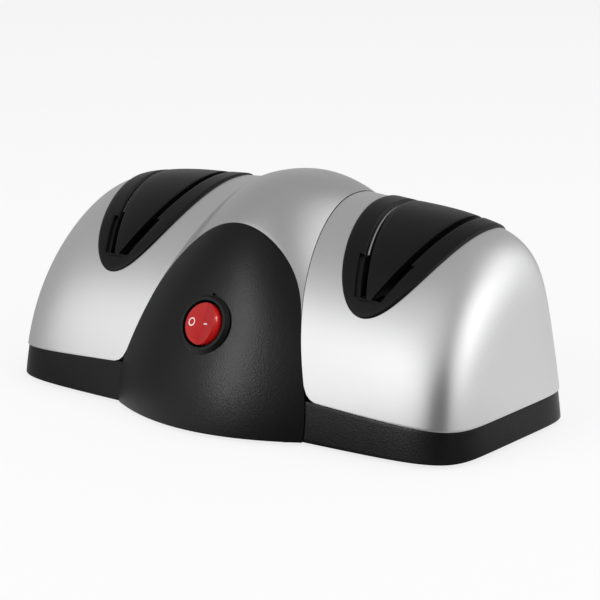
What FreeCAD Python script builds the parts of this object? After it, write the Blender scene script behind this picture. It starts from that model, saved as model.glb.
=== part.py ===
import FreeCAD, Part
import math
import os
from FreeCAD import Vector

# Electric knife sharpener: two silver wings with black guides, a grey centre hoop and a black bulged
# front that carries the rocker switch. +X to the right, +Y to the rear, +Z up, floor at z = 0.

# Overall body
half_length = 107.5
half_depth = 49.6
wing_height = 81.2
foot_drop = 1.5
wing_root_x = 20.0
depth_sweep = 0.035
height_fall = 0.0008
end_lean = 0.06
face_draft = 0.10
crest_lean = 16.0
profile_power = 2.3
end_power = 7.0
end_turn_deg = 88.0

# Centre hoop and front bulge
seam_half = 49.5
seam_slope = 0.322
bulge_half = 44.5
bulge_blend_z = 22.0
bulge_at_base = 13.4
bulge_at_switch = 9.7
bulge_at_brow = 11.7
bulge_at_crest = 5.6
bulge_at_rear = 3.0
bulge_reach_x = 56.0
arch_spring_z = 42.0
arch_top_z = 73.4
arch_power = 2.3
split_y = 8.0

# Black band under the wings
band_height_inner = 15.5
band_height_end = 11.6
band_inset = 0.5
corner_round = 4.5

# Walls and gaps
wall = 2.4
panel_gap = 0.15
seat_gap = 0.1
run_gap = 0.05

# Knife guides
guide_x = 60.9
guide_tip_z = 47.3
guide_spread = 20.0
guide_proud = 0.9
guide_skin = 3.0
guide_flange = 2.5
guide_flange_thick = 1.6
slot_width = 2.9
slot_tilt_deg = 26.0
slot_floor_z = 53.3
slot_half_spacing = 2.6
slot_wall = 1.5
ledge_width = 1.7
ledge_depth = 1.3
ledge_top_z = 66.0
strip_thick = 0.6
strip_sunk = 0.5

# Drive line
shaft_z = 38.0
shaft_dia = 6.0
wheel_dia = 38.0
wheel_thick = 5.0
wheel_clear = 1.2
hub_dia = 14.0
hub_length = 9.0
washer_dia = 18.0
washer_thick = 1.5
nut_flats = 10.0
nut_thick = 5.0
shaft_tip = 2.0
fan_dia = 40.0
fan_hub_dia = 12.0
fan_hub_length = 8.0
fan_blades = 9
fan_blade_thick = 1.2
fan_disc_thick = 1.5
fan_x = 40.0

# Motor
can_dia = 45.0
can_wall = 2.0
can_length = 54.0
boss_dia = 16.0
boss_length = 4.0
cap_thick = 3.0
bush_dia = 11.0
bush_length = 6.0
magnet_thick = 5.0
magnet_span_deg = 130.0
magnet_length = 34.0
magnet_inset = 4.0
armature_dia = 29.6
armature_length = 26.0
armature_slots = 9
armature_slot_width = 3.0
armature_slot_depth = 6.0
winding_dia = 25.0
winding_length = 6.0
commutator_dia = 13.0
commutator_length = 8.0
brush_size = 4.5
brush_box_wall = 1.2
brush_bare = 2.0
ring_width = 6.0
ring_thick = 2.5
clamp_thick = 1.5
clamp_foot = 12.0

board_length = 30.0
board_width = 14.0
board_thick = 1.6
board_post_dia = 4.0
board_rise = 4.0
capacitor_size = 9.0
diode_dia = 2.8
diode_count = 4
board_edge = 1.5

# Base plate, feet and screws
plate_thick = 2.5
plate_gap = 0.3
vent_length = 26.0
vent_width = 2.6
vent_pitch = 6.0
vent_count = 6
foot_dia = 15.0
foot_stud_dia = 7.0
foot_recess = 1.0
foot_screw_gap = 2.6
foot_y = 27.0
post_dia = 8.0
screw_dia = 3.0
screw_hole_gap = 0.2
screw_head_dia = 6.0
screw_head_thick = 1.2
screw_length = 12.0
screw_tip_gap = 0.5
housing_post_share = 0.8

# Rocker switch
switch_z = 38.6
switch_tilt_deg = 25.0
bezel_dia = 23.0
bezel_thick = 2.0
barrel_dia = 19.8
barrel_length = 15.0
barrel_floor = 2.5
rocker_dia = 16.4
rocker_gap = 0.3
rocker_travel_deg = 24.0
rocker_deep = 3.6
rocker_low = 0.7
pivot_rise = 0.8
lamp_dia = 4.0
lamp_length = 9.0
rocker_pin_dia = 2.4
rocker_pin_length = 1.0
tab_width = 4.8
tab_thick = 0.8
tab_length = 8.0
tab_spacing = 7.0

# Mains inlet at the rear
gland_z = 8.0
gland_dia = 9.6
gland_flange_dia = 12.6
gland_flange_thick = 1.4
gland_bore = 6.6
gland_length = 12.0
gland_boss_wall = 2.2
gland_boss_length = 4.0

# Sampling of the formed surfaces
profile_steps = 27
station_steps = 25
fine_steps = 2000
bulge_stations = 21
outline_steps = 15
over_top = 1.3
same_spot = 1e-6

wing_mid_y = (bulge_at_base - bulge_at_rear) / 2
seam_depth = half_depth - depth_sweep * (bulge_half - wing_root_x)
reach = 200.0
shaft_axis_z = foot_drop + shaft_z


def signed_power(value, power):
    return math.copysign(abs(value) ** power, value)


def side_profile(theta, depth, height):
    """Front-to-rear line of the wings: depth and height for an angle from front foot to rear foot."""
    rise = max(0.0, math.sin(theta)) ** (2 / profile_power)
    reach_y = signed_power(math.cos(theta), 2 / profile_power)
    y = crest_lean * rise ** 3 - (depth - face_draft * height * rise) * reach_y
    return y, height * rise


def wing_point(theta, turn, inset):
    along = math.sin(turn) ** (2 / end_power)
    size = math.cos(turn) ** (2 / end_power)
    x = wing_root_x + (half_length - inset - wing_root_x) * along
    depth = half_depth - inset - depth_sweep * (x - wing_root_x)
    y, z = side_profile(theta, depth, wing_height - inset)
    z = z * size * (1 - height_fall * (x - wing_root_x))
    return Vector(x - end_lean * z * along, wing_mid_y + y * size, foot_drop + z)


def close_skin(rows):
    """Solid under a formed skin whose ends are plane and whose foot lies on one level."""
    skin = Part.BSplineSurface()
    skin.interpolate(rows)
    corners = [rows[0][0], rows[0][-1], rows[-1][0], rows[-1][-1]]
    face = skin.toShape()
    u0, u1, v0, v1 = skin.bounds()
    start_end = skin.uIso(u0).toShape()
    far_end = skin.uIso(u1).toShape()
    front_foot = skin.vIso(v0).toShape()
    rear_foot = skin.vIso(v1).toShape()
    start_line = Part.makeLine(corners[0], corners[1])
    far_line = Part.makeLine(corners[2], corners[3])
    ends = [Part.Face(Part.Wire([start_end, start_line])), Part.Face(Part.Wire([far_end, far_line]))]
    foot = Part.Face(Part.Wire(Part.__sortEdges__([front_foot, far_line, rear_foot, start_line])))
    shell = Part.makeShell([face, foot] + ends)
    shell.sewShape()
    solid = Part.makeSolid(Part.Shell(shell.Faces))
    if solid.Volume < 0:
        solid.reverse()
    return solid


def even_turns():
    """Turn angles that space the sections evenly round the wing's end."""
    last = math.radians(end_turn_deg)
    turns = [last * (i / fine_steps) ** 2 for i in range(fine_steps + 1)]
    spots = [((half_length - wing_root_x) * math.sin(t) ** (2 / end_power),
              half_depth * math.cos(t) ** (2 / end_power)) for t in turns]
    runs = [0.0]
    for (x0, y0), (x1, y1) in zip(spots, spots[1:]):
        runs.append(runs[-1] + math.hypot(x1 - x0, y1 - y0))
    wanted = [runs[-1] * i / (station_steps - 1) for i in range(station_steps)]
    return [turns[min(range(len(runs)), key=lambda k: abs(runs[k] - run))] for run in wanted]


def wing_block(inset):
    """Right wing as a full block, from inside the centre hoop to the rounded end."""
    rows = []
    for turn in even_turns():
        rows.append([wing_point(math.pi * j / (profile_steps - 1), turn, inset) for j in range(profile_steps)])
    return close_skin(rows)


def smooth_between(t, stations):
    for (t0, v0), (t1, v1) in zip(stations, stations[1:]):
        if t <= t1:
            share = (t - t0) / (t1 - t0)
            return v0 + (v1 - v0) * (1 - math.cos(math.pi * share)) / 2
    return stations[-1][1]


def bulge_height(t):
    """How far the centre stands out of the wings' line, from front foot (0) to rear foot (1)."""
    marks = [(0.0, bulge_at_base), (0.15, bulge_at_switch), (0.31, bulge_at_brow), (0.54, bulge_at_crest)]
    return smooth_between(t, marks + [(1.0, bulge_at_rear)])


def crease_half(z):
    """Half width of the bulge at a height: the seam plane, drawn in near the foot."""
    drawn_in = seam_half - bulge_half
    low = max(0.0, 1 - z / bulge_blend_z)
    return seam_half - seam_slope * z - drawn_in * low ** 2


def centre_block(inset):
    """Centre hoop and bulge as a full block, wider than its seams."""
    rows = []
    for i in range(bulge_stations):
        x = bulge_reach_x * (2 * i / (bulge_stations - 1) - 1)
        row = []
        for j in range(profile_steps):
            theta = math.pi * j / (profile_steps - 1)
            y, z = side_profile(theta, seam_depth - inset, wing_height - inset)
            lift = bulge_height(theta / math.pi) * (1 - (x / crease_half(z)) ** 2)
            y = y - math.cos(theta) * lift
            z = z + math.sin(theta) * lift
            row.append(Vector(x, wing_mid_y + y, foot_drop + z))
        rows.append(row)
    return close_skin(rows)


def prism_xz(points, y0, y1):
    """Straight-sided outline in the front view, run from y0 to y1."""
    corners = [Vector(x, y0, z) for x, z in points]
    face = Part.Face(Part.makePolygon(corners + corners[:1]))
    return face.extrude(Vector(0, y1 - y0, 0))


def mirrored(shape):
    return shape.mirror(Vector(0, 0, 0), Vector(1, 0, 0))


def cylinder_x(dia, x0, x1, y=wing_mid_y, z=shaft_axis_z):
    return Part.makeCylinder(dia / 2, x1 - x0, Vector(x0, y, z), Vector(1, 0, 0))


def cylinder_z(dia, x, y, z0, z1):
    return Part.makeCylinder(dia / 2, z1 - z0, Vector(x, y, z0))


def box(x0, x1, y0, y1, z0, z1):
    return Part.makeBox(x1 - x0, y1 - y0, z1 - z0, Vector(x0, y0, z0))


def seam_x(z):
    return seam_half - seam_slope * (z - foot_drop)


def band_top(x):
    slope = (band_height_inner - band_height_end) / (half_length - bulge_half)
    return foot_drop + band_height_inner - slope * (x - bulge_half)


def wing_region(gap):
    """Front view of the silver wing, with its rounded lower inner corner; the gap draws it in."""
    top = foot_drop + wing_height * over_top
    low_x = seam_x(foot_drop + band_height_inner)
    outline = [(low_x + gap, band_top(low_x) + gap), (reach, band_top(reach) + gap), (reach, top),
               (seam_x(top) + gap, top)]
    block = prism_xz(outline, -reach, reach)
    corner = [e for e in block.Edges if abs(e.CenterOfMass.x - outline[0][0]) < same_spot
              and abs(e.CenterOfMass.z - outline[0][1]) < same_spot]
    return block.makeFillet(corner_round, corner)


def arch_points(gap):
    points = []
    for i in range(outline_steps):
        angle = math.pi / 2 * i / (outline_steps - 1)
        z = arch_spring_z + (arch_top_z - arch_spring_z + gap) * math.sin(angle) ** (2 / arch_power)
        points.append(((seam_half - seam_slope * z + gap) * math.cos(angle), foot_drop + z))
    return points


def front_region(gap):
    """Front view of the black bulge above the band: straight seams and a round arch."""
    right = arch_points(gap)
    left = [(-x, z) for x, z in reversed(right[:-1])]
    y0 = -reach
    curve = Part.BSplineCurve()
    curve.interpolate([Vector(x, y0, z) for x, z in right + left])
    arch_x = seam_half + gap
    foot_right = Vector(arch_x, y0, foot_drop)
    foot_left = Vector(-arch_x, y0, foot_drop)
    spring_right = Vector(right[0][0], y0, right[0][1])
    spring_left = Vector(-right[0][0], y0, right[0][1])
    edges = [Part.makeLine(foot_left, foot_right), Part.makeLine(foot_right, spring_right), curve.toShape(),
             Part.makeLine(spring_left, foot_left)]
    face = Part.Face(Part.Wire(edges))
    return face.extrude(Vector(0, reach + split_y, 0))


def guide_region(grow):
    """Front view of a guide: a parabola that opens upwards, grown by a margin."""
    half_top = math.sqrt(guide_spread * (wing_height * over_top - guide_tip_z))
    points = []
    for i in range(-outline_steps, outline_steps + 1):
        x = half_top * i / outline_steps
        slope = 2 * x / guide_spread
        length = math.hypot(1, slope)
        z = guide_tip_z + x * x / guide_spread
        points.append(Vector(guide_x + x + grow * slope / length, -reach, foot_drop + z - grow / length))
    curve = Part.BSplineCurve()
    curve.interpolate(points)
    face = Part.Face(Part.Wire([curve.toShape(), Part.makeLine(points[-1], points[0])]))
    return face.extrude(Vector(0, 2 * reach, 0))


def slot_slab(side, shift, thick, floor_z, y0, y1):
    """Tilted slab of a knife slot; side +1 is the outer one, shift moves it square to its faces."""
    slab = box(shift - thick / 2, shift + thick / 2, y0, y1, -slot_floor_z, reach)
    slab.rotate(Vector(0, 0, 0), Vector(0, 1, 0), side * slot_tilt_deg)
    slab.translate(Vector(guide_x + side * slot_half_spacing, 0, foot_drop + slot_floor_z))
    return slab.common(box(-reach, reach, -reach, reach, foot_drop + floor_z, reach))


skins = {}


def wing_skin(inset):
    if inset not in skins:
        skins[inset] = wing_block(inset)
    return skins[inset]


def save(name, shape):
    shape = shape.removeSplitter() if shape.ShapeType != "Compound" or len(shape.Solids) == 1 else shape
    if len(shape.Solids) == 1:
        shape = shape.Solids[0]
    shape.exportStep(f"parts/{name}.step")
    print(name, len(shape.Solids), round(shape.Volume, 1), shape.isValid())


os.makedirs("parts", exist_ok=True)


# Formed blocks that the shells are cut from
wing_outer = wing_skin(0.0)
wing_inner = wing_skin(wall)
centre_outer = centre_block(0.0)
centre_inner = centre_block(wall)
band_outer = wing_skin(band_inset)
band_inner = wing_skin(band_inset + wall)
silver = wing_region(0.0)
silver_room = wing_region(-panel_gap)
guide_room = guide_region(panel_gap)
below_crown = foot_drop + slot_floor_z


def left_and_right(right):
    return {"left": mirrored(right), "right": right}


# Silver wings: open below and towards the hoop, with a hole for the guide and posts at the outer end
post_x = half_length - wall - post_dia
posts = [(post_x, wing_mid_y + s * foot_y) for s in (-1, 1)]
wing_shell = wing_outer.cut(wing_inner).common(silver).cut(guide_room)
for x, y in posts:
    post = cylinder_z(post_dia, x, y, foot_drop + plate_thick + seat_gap, below_crown).common(wing_outer)
    wing_shell = wing_shell.fuse(post)
    pilot = cylinder_z(screw_dia, x, y, 0, foot_drop + screw_length + screw_tip_gap)
    wing_shell = wing_shell.cut(pilot)
wing_shells = left_and_right(wing_shell)

# Black lower housing: the band all round, one piece with the bulged front
body_outer = centre_outer.fuse([band_outer, mirrored(band_outer)])
body_inner = centre_inner.fuse([band_inner, mirrored(band_inner)])
body_skin = body_outer.cut(body_inner)
side_band = prism_xz([(0, 0), (reach, 0), (reach, band_top(reach)), (bulge_half, band_top(bulge_half)),
                      (0, band_top(bulge_half))], -reach, reach)
bulge_panel = body_skin.common(front_region(0.0)).cut([silver_room, mirrored(silver_room)])
band = body_skin.common(side_band.fuse(mirrored(side_band)))
bulge_panel = bulge_panel.cut(box(-reach, reach, split_y, reach, 0, reach))
housing = band.fuse(bulge_panel)

# Switch axis, square to the bulge
tilt = math.radians(switch_tilt_deg)
out_dir = Vector(0, -math.cos(tilt), math.sin(tilt))
up_dir = Vector(0, math.sin(tilt), math.cos(tilt))
front_line = Part.makeLine(Vector(0, -reach, foot_drop + switch_z), Vector(0, 0, foot_drop + switch_z))
seat = front_line.common(centre_outer).BoundBox.YMin
switch_seat = Vector(0, seat, foot_drop + switch_z)


def switch_cylinder(dia, low, high):
    return Part.makeCylinder(dia / 2, high - low, switch_seat + out_dir * low, out_dir)


pad = switch_cylinder(bezel_dia + wall, -wall - bezel_thick, 0).common(centre_outer)
housing = housing.fuse(pad)
housing = housing.cut(switch_cylinder(barrel_dia + 2 * seat_gap, -barrel_length, wall))
housing = housing.cut(switch_cylinder(bezel_dia + 2 * panel_gap, 0, bezel_dia))

# Rear inlet: boss, hole and recess for the cord bush
rear_y = Part.makeLine(Vector(0, 0, foot_drop + gland_z), Vector(0, reach, foot_drop + gland_z))
rear_wall = rear_y.common(centre_outer).BoundBox.YMax
gland_axis_z = foot_drop + gland_z


def cylinder_y(dia, y0, y1, x=0, z=gland_axis_z):
    return Part.makeCylinder(dia / 2, y1 - y0, Vector(x, y0, z), Vector(0, 1, 0))


boss = cylinder_y(gland_flange_dia + gland_boss_wall, rear_wall - wall - gland_boss_length, rear_wall)
boss = boss.common(box(-reach, reach, -reach, reach, foot_drop + plate_thick + seat_gap, band_top(bulge_half)))
housing = housing.fuse(boss.common(body_outer))
housing = housing.cut(cylinder_y(gland_dia + 2 * seat_gap, 0, reach))
housing = housing.cut(cylinder_y(gland_flange_dia + 2 * seat_gap, rear_wall - gland_flange_thick, reach))

# Posts of the housing, tied to its band
tie_x = bulge_half * housing_post_share
tie_front = wing_mid_y - seam_depth + wall
tie_rear = wing_mid_y + seam_depth
housing_posts = [(s * tie_x, y) for s in (-1, 1) for y in (tie_front, tie_rear - post_dia / 2)]
for x, y in housing_posts:
    post = cylinder_z(post_dia, x, y, foot_drop + plate_thick + seat_gap, foot_drop + band_height_inner)
    housing = housing.fuse(post.common(body_outer))
    housing = housing.cut(cylinder_z(screw_dia, x, y, 0, foot_drop + screw_length + screw_tip_gap))

# Grey centre hoop between the wings, over the bulge and down to the band at the rear
hoop = centre_outer.cut(centre_inner)
hoop = hoop.cut([wing_region(-panel_gap), mirrored(wing_region(-panel_gap)), front_region(panel_gap)])
hoop = hoop.common(box(-reach, reach, -reach, reach, band_top(bulge_half) + panel_gap, reach))
hoop = max(hoop.Solids, key=lambda piece: piece.Volume)

# Black knife guides: proud of the wing, two tilted slots each, with walls down to the blade's level
proud = wing_skin(-guide_proud)
guide_cut = guide_region(0.0)
guide_skin_solid = proud.cut(wing_skin(guide_skin)).common(guide_cut)
flange = wing_skin(wall + seat_gap).cut(wing_skin(wall + seat_gap + guide_flange_thick))
flange = flange.common(guide_region(guide_flange)).cut(wing_region(0.0).cut(wing_region(panel_gap * 2)))
flange = flange.common(wing_region(panel_gap))
guide_body = guide_skin_solid.fuse(flange)
inside = wing_skin(guide_skin / 2).common(guide_cut)
walls = []
for side in (-1, 1):
    walls.append(slot_slab(side, 0, slot_width + 2 * slot_wall, slot_floor_z, -reach, reach).common(inside))
guide_body = guide_body.fuse(walls)
for side in (-1, 1):
    guide_body = guide_body.cut(slot_slab(side, 0, slot_width, slot_floor_z, -reach, reach))
wheel_room = cylinder_x(wheel_dia + 2 * wheel_clear, guide_x - wheel_thick / 2 - wheel_clear,
                        guide_x + wheel_thick / 2 + wheel_clear)
guide_body = guide_body.cut(wheel_room)
ledge_skin = proud.cut(wing_skin(ledge_depth))
strips = []
for side in (-1, 1):
    ledge_shift = side * (slot_width + ledge_width) / 2
    ledge = slot_slab(side, ledge_shift, ledge_width, slot_floor_z, -reach, wing_mid_y)
    ledge = ledge.common(ledge_skin).common(box(-reach, reach, -reach, reach, 0, foot_drop + ledge_top_z))
    guide_body = guide_body.cut(ledge)
    shift = side * (slot_width / 2 - seat_gap - strip_thick / 2)
    strip = slot_slab(side, shift, strip_thick, ledge_top_z, -reach, reach).common(wing_skin(strip_sunk))
    strips.append(strip)
guides = left_and_right(guide_body)
guide_strips = left_and_right(Part.makeCompound(strips))

# Base plate with vents, screw holes, foot seats and the motor's two cradles
plate_low = foot_drop
plate_top = foot_drop + plate_thick
plate_room = wall + plate_gap
inside_foot = centre_block(plate_room).fuse([wing_skin(band_inset + plate_room),
                                             mirrored(wing_skin(band_inset + plate_room))])
base_plate = inside_foot.common(box(-reach, reach, -reach, reach, plate_low, plate_top))
foot_x = post_x - (foot_dia + screw_head_dia) / 2 - foot_screw_gap
foot_spots = [(sx * foot_x, wing_mid_y + sy * foot_y) for sx in (-1, 1) for sy in (-1, 1)]
screw_spots = [(sx * x, y) for x, y in posts for sx in (-1, 1)] + housing_posts
screws = []
for x, y in screw_spots:
    base_plate = base_plate.cut(cylinder_z(screw_dia + 2 * screw_hole_gap, x, y, 0, plate_top))
    head = cylinder_z(screw_head_dia, x, y, plate_low - screw_head_thick, plate_low)
    screws.append(head.fuse(cylinder_z(screw_dia, x, y, plate_low, plate_low + screw_length)))
feet = []
for x, y in foot_spots:
    seat_top = foot_drop + foot_recess
    base_plate = base_plate.cut(cylinder_z(foot_dia + 2 * seat_gap, x, y, 0, seat_top))
    base_plate = base_plate.cut(cylinder_z(foot_stud_dia + 2 * seat_gap, x, y, 0, plate_top))
    feet.append(cylinder_z(foot_dia, x, y, 0, seat_top).fuse(cylinder_z(foot_stud_dia, x, y, 0, plate_top)))
for side in (-1, 1):
    for i in range(vent_count):
        x = side * (guide_x - vent_pitch * (vent_count - 1) / 2 + vent_pitch * i)
        y0 = wing_mid_y - vent_length / 2
        vent = box(x - vent_width / 2, x + vent_width / 2, y0, y0 + vent_length, 0, plate_top)
        base_plate = base_plate.cut(vent)

ring_dia = can_dia + 2 * ring_thick
cradle_half = ring_dia / 2 + clamp_foot
ring_x = can_length / 2 - ring_width
for side in (-1, 1):
    x0 = side * ring_x - ring_width / 2
    cradle = box(x0, x0 + ring_width, wing_mid_y - cradle_half, wing_mid_y + cradle_half, plate_top,
                 shaft_axis_z)
    base_plate = base_plate.fuse(cradle.cut(cylinder_x(ring_dia + 2 * seat_gap, x0, x0 + ring_width)))

# Rectifier board on two posts of the base plate
board_y = wing_mid_y - cradle_half - board_width
board_z = plate_top + board_rise
board_top = board_z + board_thick
board = box(-board_length / 2, board_length / 2, board_y, board_y + board_width, board_z, board_top)
for side in (-1, 1):
    x = side * (board_length / 2 - board_post_dia)
    base_plate = base_plate.fuse(cylinder_z(board_post_dia, x, board_y + board_width / 2, plate_top, board_z))
board_parts = []
for i in range(diode_count):
    x = board_post_dia + 2 * diode_dia * i - board_length / 2
    low_end = Vector(x, board_y + board_edge, board_top + diode_dia / 2)
    board_parts.append(Part.makeCylinder(diode_dia / 2, board_width - 2 * board_edge, low_end, Vector(0, 1, 0)))
cap_x = board_length / 2 - capacitor_size - board_edge
board_parts.append(box(cap_x, cap_x + capacitor_size, board_y + board_edge, board_y + board_width - board_edge,
                       board_top, board_top + capacitor_size))

# Motor can, end cap, bearings and magnets
can_x = can_length / 2
can_room = cylinder_x(can_dia - 2 * can_wall, can_wall - can_x, can_x)
can = cylinder_x(can_dia, -can_x, can_x - cap_thick).cut(can_room)
can = can.fuse(cylinder_x(boss_dia, -can_x - boss_length, -can_x + can_wall))
cap = cylinder_x(can_dia, can_x - cap_thick, can_x).fuse(cylinder_x(boss_dia, can_x, can_x + boss_length))
bushes = []
for side in (-1, 1):
    far = side * (can_x + boss_length)
    x0 = min(far, far - side * bush_length)
    bush = cylinder_x(bush_dia, x0, x0 + bush_length)
    can = can.cut(bush)
    cap = cap.cut(bush)
    bushes.append(bush.cut(cylinder_x(shaft_dia + 2 * run_gap, x0, x0 + bush_length)))
shaft_room = cylinder_x(shaft_dia + 2 * wheel_clear, -reach, reach)
can = can.cut(shaft_room)
cap = cap.cut(shaft_room)
magnet_out = can_dia / 2 - can_wall
magnet_x = -can_x + can_wall + magnet_inset
magnets = []
for side in (-1, 1):
    x0 = magnet_x
    arc = cylinder_x(2 * magnet_out, x0, x0 + magnet_length)
    arc = arc.cut(cylinder_x(2 * (magnet_out - magnet_thick), x0, x0 + magnet_length))
    rise = magnet_out * math.cos(math.radians(magnet_span_deg / 2))
    lows = wing_mid_y + rise if side > 0 else -reach
    highs = reach if side > 0 else wing_mid_y - rise
    magnets.append(arc.common(box(x0, x0 + magnet_length, lows, highs, 0, reach)))

# Armature, winding and commutator on the shaft
on_shaft = cylinder_x(shaft_dia, -reach, reach)
core_x = magnet_x + (magnet_length - armature_length) / 2
core = cylinder_x(armature_dia, core_x, core_x + armature_length).cut(on_shaft)
slot_root = shaft_axis_z + armature_dia / 2 - armature_slot_depth
for i in range(armature_slots):
    slot = box(core_x, core_x + armature_length, wing_mid_y - armature_slot_width / 2,
               wing_mid_y + armature_slot_width / 2, slot_root, reach)
    slot.rotate(Vector(0, wing_mid_y, shaft_axis_z), Vector(1, 0, 0), 360 * i / armature_slots)
    core = core.cut(slot)
windings = []
for x0 in (core_x - winding_length / 2, core_x + armature_length):
    windings.append(cylinder_x(winding_dia, x0, x0 + winding_length / 2).cut(on_shaft))
comm_x = core_x + armature_length + winding_length / 2 + wheel_clear
commutator = cylinder_x(commutator_dia, comm_x, comm_x + commutator_length).cut(on_shaft)
brushes = []
brush_x = comm_x + commutator_length / 2
for side in (-1, 1):
    y0 = wing_mid_y + side * (commutator_dia / 2 + run_gap)
    y1 = wing_mid_y + side * (magnet_out - 2 * brush_box_wall)
    half = brush_size / 2
    low = shaft_axis_z - half
    brush = box(brush_x - half, brush_x + half, min(y0, y1), max(y0, y1), low, low + brush_size)
    brushes.append(brush)
    y2 = wing_mid_y + side * (commutator_dia / 2 + brush_bare)
    y3 = wing_mid_y + side * (magnet_out - brush_box_wall)
    grow = half + brush_box_wall
    holder = box(brush_x - grow, can_x - cap_thick, min(y2, y3), max(y2, y3), shaft_axis_z - grow,
                 shaft_axis_z + grow)
    cap = cap.fuse(holder.cut(brush))

# Rubber rings and clamp straps that hold the motor in its cradles
rings = []
straps = []
strap_screws = []
for side in (-1, 1):
    x0 = side * ring_x - ring_width / 2
    x1 = x0 + ring_width
    rings.append(cylinder_x(ring_dia, x0, x1).cut(cylinder_x(can_dia, x0, x1)))
    hoop_out = cylinder_x(ring_dia + 2 * seat_gap + 2 * clamp_thick, x0, x1)
    feet_bar = box(x0, x1, wing_mid_y - cradle_half, wing_mid_y + cradle_half, shaft_axis_z,
                   shaft_axis_z + clamp_thick)
    strap = hoop_out.fuse(feet_bar).common(box(x0, x1, -reach, reach, shaft_axis_z, reach))
    strap = strap.cut(cylinder_x(ring_dia + 2 * seat_gap, x0, x1))
    for hand in (-1, 1):
        y = wing_mid_y + hand * (cradle_half - clamp_foot / 2 + clamp_thick / 2)
        x = (x0 + x1) / 2
        pilot = cylinder_z(screw_dia, x, y, shaft_axis_z - screw_length, shaft_axis_z + clamp_thick)
        head_z = shaft_axis_z + clamp_thick
        head = cylinder_z(screw_head_dia, x, y, head_z, head_z + screw_head_thick)
        strap = strap.cut(pilot)
        base_plate = base_plate.cut(pilot)
        strap_screws.append(pilot.fuse(head))
    straps.append(strap)

# Shaft, fan, wheels, hubs, washers and nuts
wheel_half = wheel_thick / 2
nut_out = guide_x + wheel_half + washer_thick + nut_thick
shaft = cylinder_x(shaft_dia, -nut_out - shaft_tip, nut_out + shaft_tip)
wheel = cylinder_x(wheel_dia, guide_x - wheel_half, guide_x + wheel_half).cut(on_shaft)
wheels = left_and_right(wheel)
hub = cylinder_x(hub_dia, guide_x - wheel_half - hub_length, guide_x - wheel_half).cut(on_shaft)
washer = cylinder_x(washer_dia, guide_x + wheel_half, guide_x + wheel_half + washer_thick).cut(on_shaft)
nut_radius = nut_flats / math.sqrt(3)
corners = [Vector(nut_out - nut_thick, wing_mid_y + nut_radius * math.cos(math.pi * k / 3),
                  shaft_axis_z + nut_radius * math.sin(math.pi * k / 3)) for k in range(6)]
nut = Part.Face(Part.makePolygon(corners + corners[:1])).extrude(Vector(nut_thick, 0, 0)).cut(on_shaft)
fan = cylinder_x(fan_hub_dia, fan_x - fan_hub_length / 2, fan_x + fan_hub_length / 2)
fan = fan.fuse(cylinder_x(fan_dia, fan_x - fan_hub_length / 2, fan_x - fan_hub_length / 2 + fan_disc_thick))
for i in range(fan_blades):
    blade = box(fan_x - fan_hub_length / 2, fan_x + fan_hub_length / 2, wing_mid_y - fan_blade_thick / 2,
                wing_mid_y + fan_blade_thick / 2, shaft_axis_z + shaft_dia / 2,
                shaft_axis_z + fan_dia / 2 - fan_blade_thick)
    blade.rotate(Vector(0, wing_mid_y, shaft_axis_z), Vector(1, 0, 0), 360 * i / fan_blades)
    fan = fan.fuse(blade)
fan = fan.cut(on_shaft)

# Rocker switch: body with its bezel, red rocker on two pins, lamp and terminals
opening = rocker_dia + 2 * rocker_gap
pivot = switch_seat + out_dir * pivot_rise
switch_body = switch_cylinder(bezel_dia, 0, bezel_thick).fuse(switch_cylinder(barrel_dia, -barrel_length, 0))
switch_body = switch_body.cut(switch_cylinder(opening, barrel_floor - barrel_length, bezel_thick))
pin_reach = rocker_dia / 2 + rocker_pin_length
pin_hole = Part.makeCylinder(rocker_pin_dia / 2 + run_gap, 2 * pin_reach + 2 * run_gap,
                             pivot - up_dir * (pin_reach + run_gap), up_dir)
switch_body = switch_body.cut(pin_hole)
ball = Part.makeSphere(rocker_dia / 2, pivot)
pins = Part.makeCylinder(rocker_pin_dia / 2, 2 * pin_reach, pivot - up_dir * pin_reach, up_dir)
facing = FreeCAD.Rotation(Vector(1, 0, 0), up_dir, out_dir, "XYZ")
rise = reach * math.tan(math.radians(rocker_travel_deg))
profile = [(-reach, rocker_low), (0, rocker_low), (reach, rocker_low + rise), (reach, -rocker_deep),
           (-reach, -rocker_deep)]
keep = Part.Face(Part.makePolygon([Vector(x, -reach, z) for x, z in profile + profile[:1]]))
keep = keep.extrude(Vector(0, 2 * reach, 0))
keep.Placement = FreeCAD.Placement(pivot, facing)
rocker = ball.common(keep).fuse(pins)
lamp_z = barrel_floor - barrel_length + lamp_dia / 2
lamp_end = switch_seat + out_dir * lamp_z - up_dir * lamp_length / 2
lamp = Part.makeCylinder(lamp_dia / 2, lamp_length, lamp_end, up_dir)
tabs = []
for k in (-1, 0, 1):
    x = k * tab_spacing
    tab = box(x - tab_thick / 2, x + tab_thick / 2, -tab_width / 2, tab_width / 2, -tab_length, 0)
    tab.Placement = FreeCAD.Placement(switch_seat - out_dir * barrel_length, facing)
    tabs.append(tab)

# Cord bush in the rear wall
bush_in = rear_wall - gland_length
cord_bush = cylinder_y(gland_dia, bush_in, rear_wall).fuse(
    cylinder_y(gland_flange_dia, rear_wall - gland_flange_thick, rear_wall))
cord_bush = cord_bush.cut(cylinder_y(gland_bore, 0, reach))

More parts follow.
